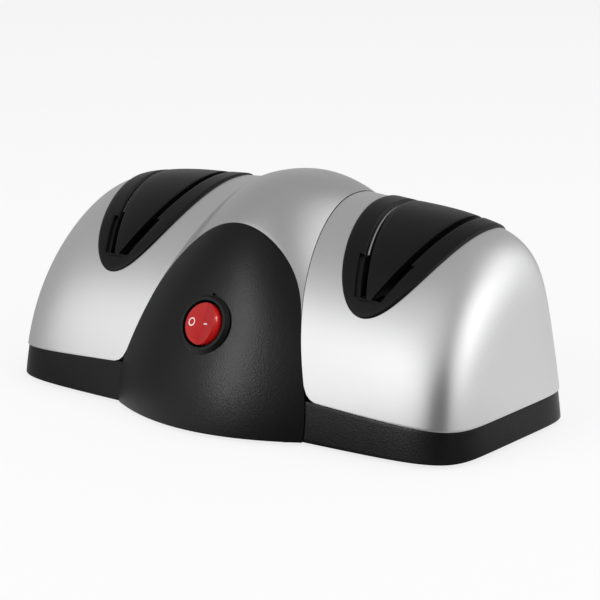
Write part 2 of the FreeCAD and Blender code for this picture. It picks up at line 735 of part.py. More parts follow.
save("left_wing_shell", wing_shells["left"])
save("right_wing_shell", wing_shells["right"])
save("lower_housing", housing)
save("centre_hoop", hoop)
save("base_plate", base_plate)
for hand in ("left", "right"):
    save(f"{hand}_knife_guide", guides[hand])
    save(f"{hand}_guide_strips", guide_strips[hand])
save("rubber_feet", Part.makeCompound(feet))
save("housing_screws", Part.makeCompound(screws))
save("switch_body", switch_body)
save("rocker", rocker)
save("switch_lamp", lamp)
save("switch_terminals", Part.makeCompound(tabs))
save("cord_bush", cord_bush)
save("motor_can", can)
save("motor_end_cap", cap)
save("field_magnets", Part.makeCompound(magnets))
save("shaft_bushes", Part.makeCompound(bushes))
save("carbon_brushes", Part.makeCompound(brushes))
save("armature_core", core)
save("armature_windings", Part.makeCompound(windings))
save("commutator", commutator)
save("motor_shaft", shaft)
save("cooling_fan", fan)
save("left_coarse_wheel", wheels["left"])
save("right_fine_wheel", wheels["right"])
save("wheel_hubs", Part.makeCompound([mirrored(hub), hub]))
save("wheel_washers", Part.makeCompound([mirrored(washer), washer]))
save("wheel_nuts", Part.makeCompound([mirrored(nut), nut]))
save("mount_rings", Part.makeCompound(rings))
save("motor_clamps", Part.makeCompound(straps))
save("clamp_screws", Part.makeCompound(strap_screws))
save("rectifier_board", board)
save("board_parts", Part.makeCompound(board_parts))
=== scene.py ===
import math
from bisect import bisect_left

import bpy
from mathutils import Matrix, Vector


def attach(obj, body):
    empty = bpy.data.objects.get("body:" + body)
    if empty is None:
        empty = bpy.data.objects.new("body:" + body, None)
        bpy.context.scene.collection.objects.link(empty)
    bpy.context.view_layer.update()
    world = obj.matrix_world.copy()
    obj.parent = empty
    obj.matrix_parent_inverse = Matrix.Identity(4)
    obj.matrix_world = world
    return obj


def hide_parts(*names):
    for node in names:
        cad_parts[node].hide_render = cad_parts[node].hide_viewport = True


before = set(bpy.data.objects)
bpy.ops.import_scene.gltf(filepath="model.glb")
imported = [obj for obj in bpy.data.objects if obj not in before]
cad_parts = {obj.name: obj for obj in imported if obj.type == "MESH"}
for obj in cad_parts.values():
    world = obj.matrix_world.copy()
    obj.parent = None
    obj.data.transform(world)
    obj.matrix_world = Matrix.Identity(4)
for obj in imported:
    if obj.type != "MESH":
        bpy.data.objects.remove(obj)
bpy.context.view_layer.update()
mm = 0.001
tiny = 1e-9

# the body's form, in millimetres, as the solids have it

bodyForm = {
    "halfLength": 107.5, "halfDepth": 49.6, "height": 81.2, "foot": 1.5, "midY": 5.2, "rootX": 20.0,
    "depthSweep": 0.035, "heightFall": 0.0008, "endLean": 0.06, "faceDraft": 0.10, "crestLean": 16.0,
    "profilePower": 2.3, "endPower": 7.0, "wall": 2.4, "gap": 0.15, "tries": 6, "smooth": 35.0,
}
centreForm = {
    "seamHalf": 49.5, "seamSlope": 0.322, "creaseHalf": 44.5, "creaseTop": 22.0,
    # how far it stands out, from front foot (0) to rear foot (1)
    "lifts": ((0.0, 13.4), (0.15, 9.7), (0.31, 11.7), (0.54, 5.6), (1.0, 3.0)),
    "archSpring": 42.0, "archTop": 73.4, "archPower": 2.3,
}
bandForm = {"innerTop": 15.5, "endTop": 11.6, "inset": 0.5, "cornerRound": 4.5}
guideForm = {
    "x": 60.9, "tip": 47.3, "spread": 20.0, "proud": 0.9,
    "slotFloor": 53.3, "slotHalfGap": 2.6, "slotTilt": 26.0, "slotWidth": 2.9,
    "ledgeWidth": 1.7, "ledgeDepth": 1.3, "ledgeTop": 66.0,
}
seamDepth = bodyForm["halfDepth"] - bodyForm["depthSweep"] * (centreForm["creaseHalf"] - bodyForm["rootX"])


def profileAt(theta, depth, height):
    f = bodyForm
    rise = max(0.0, math.sin(theta)) ** (2 / f["profilePower"])
    reach = math.copysign(abs(math.cos(theta)) ** (2 / f["profilePower"]), math.cos(theta))
    y = f["crestLean"] * rise ** 3 - (depth - f["faceDraft"] * height * rise) * reach
    return y, height * rise


def endCurve(beta):
    s, c = max(0.0, math.sin(beta)), max(0.0, math.cos(beta))
    norm = (s ** bodyForm["endPower"] + c ** bodyForm["endPower"]) ** (1 / bodyForm["endPower"])
    return s / norm, c / norm  # how far along the wing, how big its section


def wingAt(along, size, theta, inset=0.0):
    f = bodyForm
    x = f["rootX"] + (f["halfLength"] - inset - f["rootX"]) * along
    depth = f["halfDepth"] - inset - f["depthSweep"] * (x - f["rootX"])
    y, z = profileAt(theta, depth, f["height"] - inset)
    z = z * size * (1 - f["heightFall"] * (x - f["rootX"]))
    return x - f["endLean"] * z * along, f["midY"] + y * size, z


def wingAtX(x, theta, inset=0.0):
    f = bodyForm
    z = 0.0
    along = 0.0
    for _ in range(f["tries"]):
        along = (x + f["endLean"] * z * along - f["rootX"]) / (f["halfLength"] - inset - f["rootX"])
        along = min(max(along, 0.0), 0.9999)
        size = (1 - along ** f["endPower"]) ** (1 / f["endPower"])
        px, py, z = wingAt(along, size, theta, inset)
    return px, py, z


def liftAt(share):
    marks = centreForm["lifts"]
    for (t0, v0), (t1, v1) in zip(marks, marks[1:]):
        if share <= t1:
            return v0 + (v1 - v0) * (1 - math.cos(math.pi * (share - t0) / (t1 - t0))) / 2
    return marks[-1][1]


def seamX(z):
    return centreForm["seamHalf"] - centreForm["seamSlope"] * z


def creaseX(z):
    drawnIn = centreForm["seamHalf"] - centreForm["creaseHalf"]
    return seamX(z) - drawnIn * max(0.0, 1 - z / centreForm["creaseTop"]) ** 2


def centreAt(x, theta, inset=0.0):
    y, z = profileAt(theta, seamDepth - inset, bodyForm["height"] - inset)
    lift = liftAt(theta / math.pi) * (1 - (x / creaseX(z)) ** 2)
    return x, bodyForm["midY"] + y - math.cos(theta) * lift, z + math.sin(theta) * lift


def bandTop(x):
    slope = (bandForm["innerTop"] - bandForm["endTop"]) / (bodyForm["halfLength"] - centreForm["creaseHalf"])
    return bandForm["innerTop"] - slope * (x - centreForm["creaseHalf"])


def halve(test, low, high, steps=40):
    for _ in range(steps):  # test is true at low and false at high
        middle = (low + high) / 2
        if test(middle):
            low = middle
        else:
            high = middle
    return (low + high) / 2


def raised(point):
    return Vector((point[0], point[1], point[2] + bodyForm["foot"])) * mm


# making and finishing sheets

def flatGrid(name, columns, rows):
    bpy.ops.object.select_all(action="DESELECT")
    bpy.ops.mesh.primitive_grid_add(x_subdivisions=columns, y_subdivisions=rows, size=1, location=(0, 0, 0))
    sheet = bpy.context.object
    sheet.name = name
    for vert in sheet.data.vertices:
        vert.co.x = round((vert.co.x + 0.5) * columns) / columns
        vert.co.y = round((vert.co.y + 0.5) * rows) / rows
    return sheet


def choose(piece, kind, test):
    # selects the faces or edges whose middle passes the test, then enters edit mode
    bpy.ops.object.mode_set(mode="EDIT")
    bpy.ops.mesh.select_all(action="DESELECT")
    bpy.ops.mesh.select_mode(type=kind)
    bpy.ops.object.mode_set(mode="OBJECT")
    mesh = piece.data
    for item in (mesh.polygons if kind == "FACE" else mesh.edges):
        middle = sum((mesh.vertices[i].co for i in item.vertices), Vector()) / len(item.vertices)
        item.select = bool(test(middle, [mesh.vertices[i].co for i in item.vertices]))
    bpy.ops.object.mode_set(mode="EDIT")


def bodyMode():
    bpy.ops.object.mode_set(mode="OBJECT")


def only(piece):
    bpy.ops.object.select_all(action="DESELECT")
    piece.select_set(True)
    bpy.context.view_layer.objects.active = piece


def applyAll(piece):
    only(piece)
    for modifier in list(piece.modifiers):
        bpy.ops.object.modifier_apply(modifier=modifier.name)


def tidySheet(piece, heart):
    # joins seams and turns the faces away from a point inside the body
    only(piece)
    bpy.ops.object.mode_set(mode="EDIT")
    bpy.ops.mesh.select_all(action="SELECT")
    bpy.ops.mesh.remove_doubles(threshold=0.00001)
    bpy.ops.mesh.normals_make_consistent(inside=False)
    bodyMode()
    facing = sum(face.area * face.normal.dot(face.center - heart) for face in piece.data.polygons)
    if facing < 0:
        bpy.ops.object.mode_set(mode="EDIT")
        bpy.ops.mesh.select_all(action="SELECT")
        bpy.ops.mesh.flip_normals()
        bodyMode()


def thicken(piece, wall, edgeRound, steps=3, limit=50, even=True):
    solidify = piece.modifiers.new("wall", "SOLIDIFY")
    solidify.thickness = wall * mm
    solidify.offset = -1
    solidify.use_even_offset = even
    softEdges(piece, edgeRound, steps, limit)


def softEdges(piece, edgeRound, steps=3, limit=40, smooth=35, flatFaces=False):
    bevel = piece.modifiers.new("edges", "BEVEL")
    bevel.width = edgeRound * mm
    bevel.segments = steps
    bevel.limit_method = "ANGLE"
    bevel.angle_limit = math.radians(limit)
    bevel.miter_outer = "MITER_ARC"
    applyAll(piece)
    bpy.ops.object.shade_smooth_by_angle(angle=math.radians(smooth))
    if flatFaces:
        piece.modifiers.new("flat", "WEIGHTED_NORMAL")
        applyAll(piece)


def mirrorCopy(piece, name):
    only(piece)
    bpy.ops.object.duplicate()
    copy = bpy.context.object
    copy.name = name
    for vert in copy.data.vertices:
        vert.co.x = -vert.co.x
    bpy.ops.object.mode_set(mode="EDIT")
    bpy.ops.mesh.select_all(action="SELECT")
    bpy.ops.mesh.flip_normals()
    bodyMode()
    return copy


def join(pieces, name):
    bpy.ops.object.select_all(action="DESELECT")
    for piece in pieces:
        piece.select_set(True)
    bpy.context.view_layer.objects.active = pieces[0]
    bpy.ops.object.join()
    pieces[0].name = name
    return pieces[0]


# shader nodes

class Feed:
    def __init__(self, tree, socket):
        self.tree = tree
        self.socket = socket

    def math(self, operation, other=None, swap=False):
        node = self.tree.nodes.new("ShaderNodeMath")
        node.operation = operation
        first, second = (other, self) if swap else (self, other)
        for place, value in ((0, first), (1, second)):
            if isinstance(value, Feed):
                self.tree.links.new(value.socket, node.inputs[place])
            elif value is not None:
                node.inputs[place].default_value = value
        return Feed(self.tree, node.outputs[0])

    def __add__(self, other):
        return self.math("ADD", other)

    def __radd__(self, other):
        return self.math("ADD", other, True)

    def __sub__(self, other):
        return self.math("SUBTRACT", other)

    def __rsub__(self, other):
        return self.math("SUBTRACT", other, True)

    def __mul__(self, other):
        return self.math("MULTIPLY", other)

    def __rmul__(self, other):
        return self.math("MULTIPLY", other, True)

    def atLeast(self, other):
        return self.math("MAXIMUM", other)


class Nodes:
    def __init__(self, tree):
        self.tree = tree

    def node(self, kind, settings=None, inputs=None, output=0):
        made = self.tree.nodes.new(kind)
        for key, value in (settings or {}).items():
            setattr(made, key, value)
        for key, value in (inputs or {}).items():
            if isinstance(value, Feed):
                self.tree.links.new(value.socket, made.inputs[key])
            else:
                made.inputs[key].default_value = value
        return Feed(self.tree, made.outputs[output])

    def shade(self, kind, colour, strength):
        return self.node(kind, {}, {0: colour if isinstance(colour, Feed) else (*colour, 1.0), 1: strength})

    def mixShaders(self, factor, first, second):
        return self.node("ShaderNodeMixShader", {}, {0: factor, 1: first, 2: second})


class Finish(Nodes):
    def __init__(self, name):
        self.material = bpy.data.materials.new(name)
        self.material.use_nodes = True
        super().__init__(self.material.node_tree)
        self.shader = self.tree.nodes["Principled BSDF"]

    def place(self):
        return self.node("ShaderNodeTexCoord", output=3)

    def noise(self, scale, detail):
        inputs = {"Vector": self.place(), "Scale": scale, "Detail": detail, "Roughness": 0.55}
        return self.node("ShaderNodeTexNoise", {}, inputs)

    def blend(self, factor, low, high):
        mix = self.tree.nodes.new("ShaderNodeMix")
        mix.data_type = "RGBA"
        self.tree.links.new(factor.socket, mix.inputs[0])
        for place, value in ((6, low), (7, high)):
            if isinstance(value, Feed):
                self.tree.links.new(value.socket, mix.inputs[place])
            else:
                mix.inputs[place].default_value = (*value, 1.0)
        return Feed(self.tree, mix.outputs[2])

    def set(self, **values):
        names = {"colour": "Base Color", "rough": "Roughness", "metal": "Metallic", "coat": "Coat Weight",
                 "coatRough": "Coat Roughness", "specular": "Specular IOR Level", "normal": "Normal",
                 "clear": "Transmission Weight"}
        for key, value in values.items():
            socket = self.shader.inputs[names[key]]
            if isinstance(value, Feed):
                self.tree.links.new(value.socket, socket)
            elif key == "colour":
                socket.default_value = (*value, 1.0)
            else:
                socket.default_value = value
        return self

    def bump(self, height, depth):
        return self.node("ShaderNodeBump", {}, {"Height": height, "Distance": depth * mm, "Strength": 1.0})


grainForm = {"cloud": 40.0, "gloss": 0.2}  # size of the tone patches, share by which the gloss changes


def grained(name, colour, rough, grain=900.0, depth=0.02, mottle=0.06, metal=0.0, **more):
    # an even finish: slight changes of tone and gloss, and a fine grain in the surface
    finish = Finish(name)
    cloud = finish.noise(grainForm["cloud"], 4.0)
    fine = finish.noise(grain, 2.0)
    darker = tuple(c * (1 - mottle) for c in colour)
    lighter = tuple(min(1.0, c * (1 + mottle)) for c in colour)
    finish.set(colour=finish.blend(cloud, darker, lighter), metal=metal, normal=finish.bump(fine, depth),
               rough=rough * (0.9 + grainForm["gloss"] * cloud))
    return finish.set(**more).material


# name, colour, roughness, grain, its depth in millimetres, change of tone, metal
silverPaint = grained("silverPaint", (0.62, 0.62, 0.625), 0.35, 2600.0, 0.008, 0.02, 0.9,
                      coat=0.12, coatRough=0.25)
hoopPaint = grained("hoopPaint", (0.50, 0.50, 0.505), 0.30, 2600.0, 0.005, 0.02, 0.85,
                    coat=0.25, coatRough=0.12)
mouldedBlack = grained("mouldedBlack", (0.004, 0.004, 0.0044), 0.33, 1600.0, 0.075, 0.08, specular=0.12)
guideBlack = grained("guideBlack", (0.004, 0.004, 0.0044), 0.36, 1300.0, 0.05, 0.08, specular=0.16)
baseBlack = grained("baseBlack", (0.02, 0.02, 0.021), 0.55, 1200.0, 0.04, specular=0.2)
switchBlack = grained("switchBlack", (0.004, 0.004, 0.004), 0.34, 1800.0, 0.02, specular=0.10)
rubberBlack = grained("rubberBlack", (0.02, 0.02, 0.02), 0.75, 1200.0, 0.05)
plainSteel = grained("plainSteel", (0.55, 0.55, 0.56), 0.32, 1200.0, 0.01, 0.05, 1.0)
zincSteel = grained("zincSteel", (0.68, 0.68, 0.70), 0.25, 1500.0, 0.01, 0.05, 1.0)
brassMetal = grained("brassMetal", (0.78, 0.58, 0.28), 0.28, 1500.0, 0.01, 0.06, 1.0)
copperWire = grained("copperWire", (0.70, 0.30, 0.14), 0.35, 900.0, 0.15, 0.12, 1.0)
bronzeBush = grained("bronzeBush", (0.50, 0.33, 0.16), 0.45, 1300.0, 0.03, 0.1, 1.0)
ferriteGrey = grained("ferriteGrey", (0.09, 0.09, 0.09), 0.7, 900.0, 0.05)
carbonBlack = grained("carbonBlack", (0.03, 0.03, 0.03), 0.6, 1200.0, 0.04)
coarseStone = grained("coarseStone", (0.16, 0.155, 0.15), 0.9, 700.0, 0.35, 0.3)
fineStone = grained("fineStone", (0.34, 0.33, 0.31), 0.85, 1300.0, 0.15, 0.1)
whitePlastic = grained("whitePlastic", (0.75, 0.75, 0.73), 0.45, 1200.0, 0.01, 0.03)
boardGreen = grained("boardGreen", (0.04, 0.16, 0.06), 0.35, 1200.0, 0.02)
lampAmber = grained("lampAmber", (0.8, 0.35, 0.12), 0.1, 500.0, 0.0, 0.02, clear=0.8)
rockerRed = grained("rockerRed", (0.42, 0.007, 0.007), 0.30, 1200.0, 0.002, 0.03, specular=0.08,
                   coat=0.32, coatRough=0.06)
markWhite = grained("markWhite", (0.85, 0.80, 0.78), 0.4, 1200.0, 0.0, 0.02)
print("finishes made")


def dress(piece, material, body, slot, *nodes):
    piece.data.materials.clear()
    piece.data.materials.append(material)
    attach(piece, body)
    if nodes:
        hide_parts(*nodes)


# silver wings

wingSheet = {"around": 320, "rings": 56, "edgeRound": 0.2, "mmPerRadian": 73.0, "curveSteps": 900,
             "farRun": 300.0}
wingHeart = Vector((0.05, 0.01, 0.02))


def runTable():
    f = bodyForm
    table = [(0.0, 0.0)]
    last = (0.0, f["halfDepth"])
    for i in range(1, wingSheet["curveSteps"] + 1):
        beta = math.pi / 2 * i / wingSheet["curveSteps"]
        along, size = endCurve(beta)
        spot = ((f["halfLength"] - f["rootX"]) * along, f["halfDepth"] * size)
        table.append((table[-1][0] + math.dist(spot, last), beta))
        last = spot
    return table


runs = runTable()
runLengths = [run for run, beta in runs]


def onWing(run, theta):
    run = min(max(run, 0.0), runLengths[-1])
    k = min(max(bisect_left(runLengths, run), 1), len(runs) - 1)
    share = (run - runs[k - 1][0]) / (runs[k][0] - runs[k - 1][0])
    beta = runs[k - 1][1] + (runs[k][1] - runs[k - 1][1]) * share
    along, size = endCurve(beta)
    return wingAt(along, size, theta)


def insideGuide(x, z, grow):
    slope = 2 * (x - guideForm["x"]) / guideForm["spread"]
    drop = z - guideForm["tip"] - (x - guideForm["x"]) ** 2 / guideForm["spread"]
    return drop / math.hypot(1, slope) + grow


def insideWing(x, z):
    fromSeam = (x - seamX(z)) / math.hypot(1, centreForm["seamSlope"])
    fromBand = z - bandTop(x)
    corner = bandForm["cornerRound"]
    if fromSeam < corner and fromBand < corner:
        return corner - math.hypot(corner - fromSeam, corner - fromBand)
    return min(fromSeam, fromBand)


def wingShell():
    s = wingSheet
    startRun = guideForm["x"] - bodyForm["rootX"]
    startTheta = math.pi / 2
    spans = []
    for k in range(s["around"]):
        angle = 2 * math.pi * k / s["around"]
        stepRun, stepTheta = math.cos(angle), math.sin(angle) / s["mmPerRadian"]
        limits = [s["farRun"]]
        if abs(stepTheta) > tiny:
            limits.append(startTheta / abs(stepTheta))
        if stepRun > tiny:
            limits.append((runLengths[-1] - startRun) / stepRun)
        if stepRun < -tiny:
            limits.append(startRun / -stepRun)

        def spot(t):
            return onWing(startRun + stepRun * t, startTheta + stepTheta * t)

        far = min(limits)
        hole = halve(lambda t: insideGuide(spot(t)[0], spot(t)[2], bodyForm["gap"]) > 0, 0.0, far)
        rim = halve(lambda t: insideWing(spot(t)[0], spot(t)[2]) > 0, hole, far)
        spans.append((stepRun, stepTheta, hole, rim))
    shell = flatGrid("right_wing_skin", s["around"], s["rings"])
    for vert in shell.data.vertices:
        stepRun, stepTheta, hole, rim = spans[round(vert.co.x * s["around"]) % s["around"]]
        t = hole + (rim - hole) * vert.co.y
        vert.co = raised(onWing(startRun + stepRun * t, startTheta + stepTheta * t))
    tidySheet(shell, wingHeart)
    thicken(shell, bodyForm["wall"], s["edgeRound"])
    return shell


rightWing = wingShell()
leftWing = mirrorCopy(rightWing, "left_wing_skin")
dress(rightWing, silverPaint, "housing", "silver_paint", "right_wing_shell")
dress(leftWing, silverPaint, "housing", "silver_paint", "left_wing_shell")
print("wings made")

# centre hoop and the black bulge below its arch

hoopSheet = {"across": 96, "along": 90, "edgeRound": 0.15, "seamGap": 0.03,
             "frontEnd": 0.52, "rearStart": 0.6}
bulgeSheet = {"across": 96, "up": 60, "rowPower": 1.3, "edgeRound": 0.3}
bodyHeart = Vector((0, 0.005, 0.03))


def archSpot(u, grow):
    angle = math.acos(min(1.0, abs(u)))
    rise = math.sin(angle) ** (2 / centreForm["archPower"])
    z = centreForm["archSpring"] + (centreForm["archTop"] - centreForm["archSpring"] + grow) * rise
    return math.copysign((seamX(z) + grow) * abs(u), u), z


def frontTheta(x, z):
    return halve(lambda theta: centreAt(x, theta)[2] < z, 0.0, math.pi * hoopSheet["frontEnd"])


def rearTheta(x, z):
    return halve(lambda theta: centreAt(x, theta)[2] > z, math.pi * hoopSheet["rearStart"], math.pi)


def hoopShell():
    s = hoopSheet
    ends = []
    for k in range(s["across"] + 1):
        u = math.sin(math.pi / 2 * (2 * k / s["across"] - 1))
        x, z = archSpot(u, bodyForm["gap"])
        rearX = u * centreForm["creaseHalf"]
        ends.append((u, frontTheta(x, z), rearTheta(rearX, bandTop(abs(rearX)) + bodyForm["gap"])))
    hoop = flatGrid("hoop_skin", s["across"], s["along"])
    for vert in hoop.data.vertices:
        u, front, rear = ends[round(vert.co.x * s["across"])]
        theta = front + (rear - front) * vert.co.y
        x = 0.0
        for _ in range(bodyForm["tries"]):
            z = centreAt(x, theta)[2]
            side = seamX(z) if theta < math.pi / 2 else creaseX(z)
            x = u * (side - s["seamGap"])
        vert.co = raised(centreAt(x, theta))
    tidySheet(hoop, bodyHeart)
    thicken(hoop, bodyForm["wall"], s["edgeRound"])
    return hoop


def bulgePanel():
    s = bulgeSheet
    tops = []
    for k in range(s["across"] + 1):
        u = math.sin(math.pi / 2 * (2 * k / s["across"] - 1))
        x, z = archSpot(u, 0.0)
        tops.append((u, frontTheta(x, z)))
    panel = flatGrid("bulge_panel", s["across"], s["up"])
    for vert in panel.data.vertices:
        u, top = tops[round(vert.co.x * s["across"])]
        theta = top * vert.co.y ** s["rowPower"]
        x = 0.0
        for _ in range(bodyForm["tries"]):
            x = u * creaseX(centreAt(x, theta)[2])
        vert.co = raised(centreAt(x, theta))
    tidySheet(panel, bodyHeart)
    return panel


# band round the foot

bandSheet = {"around": 220, "rows": 10, "fine": 400, "rear": 60, "tuck": 1.5, "highShare": 0.95,
             "edgeRound": 0.45}
bandHeart = Vector((0.05, 0.005, 0.005))


def levelSpot(along, size, rear, share):
    # a point of the wing at a share of the band's height
    f = bodyForm
    inset = bandForm["inset"]
    x = f["rootX"] + (f["halfLength"] - inset - f["rootX"]) * along
    z = share * bandTop(x)
    depth = f["halfDepth"] - inset - f["depthSweep"] * (x - f["rootX"])
    height = (f["height"] - inset) * (1 - f["heightFall"] * (x - f["rootX"]))
    rise = min(1.0, z / max(height * size, 1e-6))
    reach = math.sqrt(max(0.0, 1 - rise ** f["profilePower"])) ** (2 / f["profilePower"])
    reach = -reach if rear else reach
    y = f["crestLean"] * rise ** 3 - (depth - f["faceDraft"] * (f["height"] - inset) * rise) * reach
    return x - f["endLean"] * z * along, f["midY"] + y * size, z


def bandOutline(share):
    # front crease, round the end, to the rear crease
    s = bandSheet
    f = bodyForm
    startAlong = (centreForm["creaseHalf"] - s["tuck"] - f["rootX"]) / (f["halfLength"] - f["rootX"])
    low = halve(lambda beta: endCurve(beta)[0] < startAlong, 0.0, math.pi / 4)
    height = f["height"] * s["highShare"]
    smallest = max(share * bandForm["endTop"] / height, 0.0)
    high = halve(lambda beta: endCurve(beta)[1] > smallest, math.pi / 4, math.pi / 2)
    front = []
    for i in range(s["fine"] + 1):
        beta = low + (high - low) * math.sin(math.pi / 2 * i / s["fine"])
        front.append(endCurve(beta))
    spots = [levelSpot(a, z, False, share) for a, z in front]
    spots += [levelSpot(a, z, True, share) for a, z in reversed(front)]
    lengths = [0.0]
    for p, q in zip(spots, spots[1:]):
        lengths.append(lengths[-1] + math.dist(p, q))
    outline = []
    for i in range(s["around"] + 1):
        wanted = lengths[-1] * i / s["around"]
        k = min(max(bisect_left(lengths, wanted), 1), len(lengths) - 1)
        part = (wanted - lengths[k - 1]) / max(lengths[k] - lengths[k - 1], tiny)
        outline.append([p + (q - p) * part for p, q in zip(spots[k - 1], spots[k])])
    return outline


def bandEnd():
    s = bandSheet
    levels = [bandOutline(j / s["rows"]) for j in range(s["rows"] + 1)]
    band = flatGrid("band_end", s["around"], s["rows"])
    for vert in band.data.vertices:
        vert.co = raised(levels[round(vert.co.y * s["rows"])][round(vert.co.x * s["around"])])
    tidySheet(band, bandHeart)
    return band


def bandRear():
    s = bandSheet
    half = centreForm["creaseHalf"]
    band = flatGrid("band_rear", s["rear"], s["rows"])
    for vert in band.data.vertices:
        x = (2 * vert.co.x - 1) * half
        theta = rearTheta(x, vert.co.y * bandTop(abs(x)))
        vert.co = raised(centreAt(x, theta))
    tidySheet(band, Vector((0, 0, bandHeart.z)))
    return band


hoopSkin = hoopShell()
dress(hoopSkin, hoopPaint, "housing", "silver_paint", "centre_hoop")
bulge = bulgePanel()
thicken(bulge, bodyForm["wall"], bulgeSheet["edgeRound"])
rightBand = bandEnd()
thicken(rightBand, bodyForm["wall"], bandSheet["edgeRound"])
leftBand = mirrorCopy(rightBand, "band_left")
rearBand = bandRear()
thicken(rearBand, bodyForm["wall"], bandSheet["edgeRound"])
print("hoop, bulge and band made")

# switch: its hole, bezel, rocker and marks

switchForm = {
    "tilt": 25.0, "seat": (0.0, -45.122, 40.1), "bezel": 23.3, "bezelThick": 1.4, "bezelDraw": 0.88,
    "opening": 17.0, "wellFlare": 1.08, "wellDeep": 11.0,
    "barrel": 19.8, "barrelLow": -12.5, "barrelHigh": 0.5,
    "keyWide": 1.8, "keyProud": 0.7, "keyThick": 0.9, "cutGap": 0.2, "cutHalf": 15.0,
    "rocker": 16.4, "rockerLow": 0.7, "rockerDeep": 3.6, "travel": 24.0, "pivotRise": 0.2, "reach": 20.0,
    "offX": 5.4, "offRadius": 1.25, "offLine": 0.22, "offTall": 1.15, "offFlat": 0.35,
    "onX": 2.0, "onLong": 2.4, "onTall": 0.5, "onThick": 0.16, "edgeRound": 0.35, "markRound": 0.04,
}
inletForm = {"flange": 12.6, "gap": 0.2, "height": 9.5, "from": 40.0, "to": 70.0}
switchTilt = math.radians(switchForm["tilt"])
switchOut = Vector((0, -math.cos(switchTilt), math.sin(switchTilt)))
switchUp = Vector((0, math.sin(switchTilt), math.cos(switchTilt)))
switchSeat = Vector(switchForm["seat"])


def facingSwitch(point):
    # from the switch's own frame (right, up, out of the body) to the body's
    return (switchSeat + Vector((1, 0, 0)) * point[0] + switchUp * point[1] + switchOut * point[2]) * mm


def turnOnSwitch(piece):
    for vert in piece.data.vertices:
        vert.co = facingSwitch(vert.co)


def disc(name, dia, low, high, sides=96):
    bpy.ops.object.select_all(action="DESELECT")
    bpy.ops.mesh.primitive_cylinder_add(vertices=sides, radius=dia / 2, depth=high - low,
                                        location=(0, 0, (low + high) / 2))
    bpy.ops.object.transform_apply(location=True, rotation=True, scale=True)
    bpy.context.object.name = name
    return bpy.context.object


def cutWith(piece, cutter, operation="DIFFERENCE"):
    boolean = piece.modifiers.new("cut", "BOOLEAN")
    boolean.operation = operation
    boolean.solver = "EXACT"
    boolean.object = cutter
    only(piece)
    bpy.ops.object.modifier_apply(modifier=boolean.name)
    bpy.data.objects.remove(cutter, do_unlink=True)


hole = disc("hole", switchForm["barrel"] + switchForm["cutGap"],
            -switchForm["cutHalf"], switchForm["cutHalf"])
turnOnSwitch(hole)
cutWith(bulge, hole)
inlet = disc("inlet", inletForm["flange"] + inletForm["gap"], inletForm["from"], inletForm["to"])
for vert in inlet.data.vertices:
    vert.co = Vector((vert.co.x, vert.co.z, inletForm["height"] - vert.co.y)) * mm
cutWith(rearBand, inlet)
housing = join([bulge, rightBand, leftBand, rearBand], "housing_skin")
only(housing)
bpy.ops.object.shade_smooth_by_angle(angle=math.radians(bodyForm["smooth"]))
dress(housing, mouldedBlack, "housing", "satin_black", "lower_housing")


def bezelRing():
    s = switchForm
    ring = disc("switch_bezel", s["bezel"], 0, s["bezelThick"])
    for vert in ring.data.vertices:
        if vert.co.z > s["bezelThick"] / 2:
            vert.co = (vert.co.x * s["bezelDraw"], vert.co.y * s["bezelDraw"], vert.co.z)
        else:
            vert.co.z = 0.0
    barrel = disc("barrel", s["barrel"], s["barrelLow"], s["barrelHigh"])
    cutWith(ring, barrel, "UNION")
    bpy.ops.mesh.primitive_cube_add(size=1, location=(0, 0, 0))
    key = bpy.context.object
    for vert in key.data.vertices:
        vert.co = (vert.co.x * s["keyWide"], s["bezel"] / 2 + vert.co.y * 2 * s["keyProud"],
                   s["keyThick"] / 2 + vert.co.z * s["keyThick"])
    cutWith(ring, key, "UNION")
    well = disc("well", s["opening"], -s["wellDeep"], s["bezelThick"] + 1)
    for vert in well.data.vertices:
        if vert.co.z > 0:
            vert.co = (vert.co.x * s["wellFlare"], vert.co.y * s["wellFlare"], vert.co.z)
    cutWith(ring, well)
    turnOnSwitch(ring)
    softEdges(ring, s["edgeRound"], 4, 30, 35, True)
    return ring


def rockerCap():
    s = switchForm
    bpy.ops.object.select_all(action="DESELECT")
    bpy.ops.mesh.primitive_uv_sphere_add(segments=160, ring_count=80, radius=s["rocker"] / 2,
                                         location=(0, 0, 0))
    cap = bpy.context.object
    cap.name = "rocker_cap"
    bpy.ops.mesh.primitive_cube_add(size=1, location=(0, 0, 0))
    keep = bpy.context.object
    wide = s["reach"]
    rise = wide * math.tan(math.radians(s["travel"]))
    for vert in keep.data.vertices:
        right = vert.co.x > 0
        upper = vert.co.z > 0
        vert.co = ((wide if right else 0), (wide if vert.co.y > 0 else -wide),
                   (s["rockerLow"] + (rise if right else 0)) if upper else -s["rockerDeep"])
    bpy.ops.mesh.primitive_cube_add(size=1, location=(0, 0, 0))
    flat = bpy.context.object
    for vert in flat.data.vertices:
        vert.co = ((0.0 if vert.co.x > 0 else -wide), (wide if vert.co.y > 0 else -wide),
                   s["rockerLow"] if vert.co.z > 0 else -s["rockerDeep"])
    cutWith(keep, flat, "UNION")
    cutWith(cap, keep, "INTERSECT")
    for vert in cap.data.vertices:
        vert.co.z += s["pivotRise"]
    turnOnSwitch(cap)
    softEdges(cap, s["edgeRound"], 6, 40, 20, True)
    return cap


def offMark():
    s = switchForm
    top = s["rockerLow"] + s["pivotRise"]
    bpy.ops.object.select_all(action="DESELECT")
    bpy.ops.mesh.primitive_torus_add(major_segments=48, minor_segments=8, major_radius=s["offRadius"],
                                     minor_radius=s["offLine"], location=(0, 0, 0))
    ring = bpy.context.object
    ring.name = "off_mark"
    for vert in ring.data.vertices:
        vert.co = Vector((vert.co.x - s["offX"], vert.co.y * s["offTall"], vert.co.z * s["offFlat"] + top))
    bpy.ops.object.shade_smooth()
    turnOnSwitch(ring)
    return ring


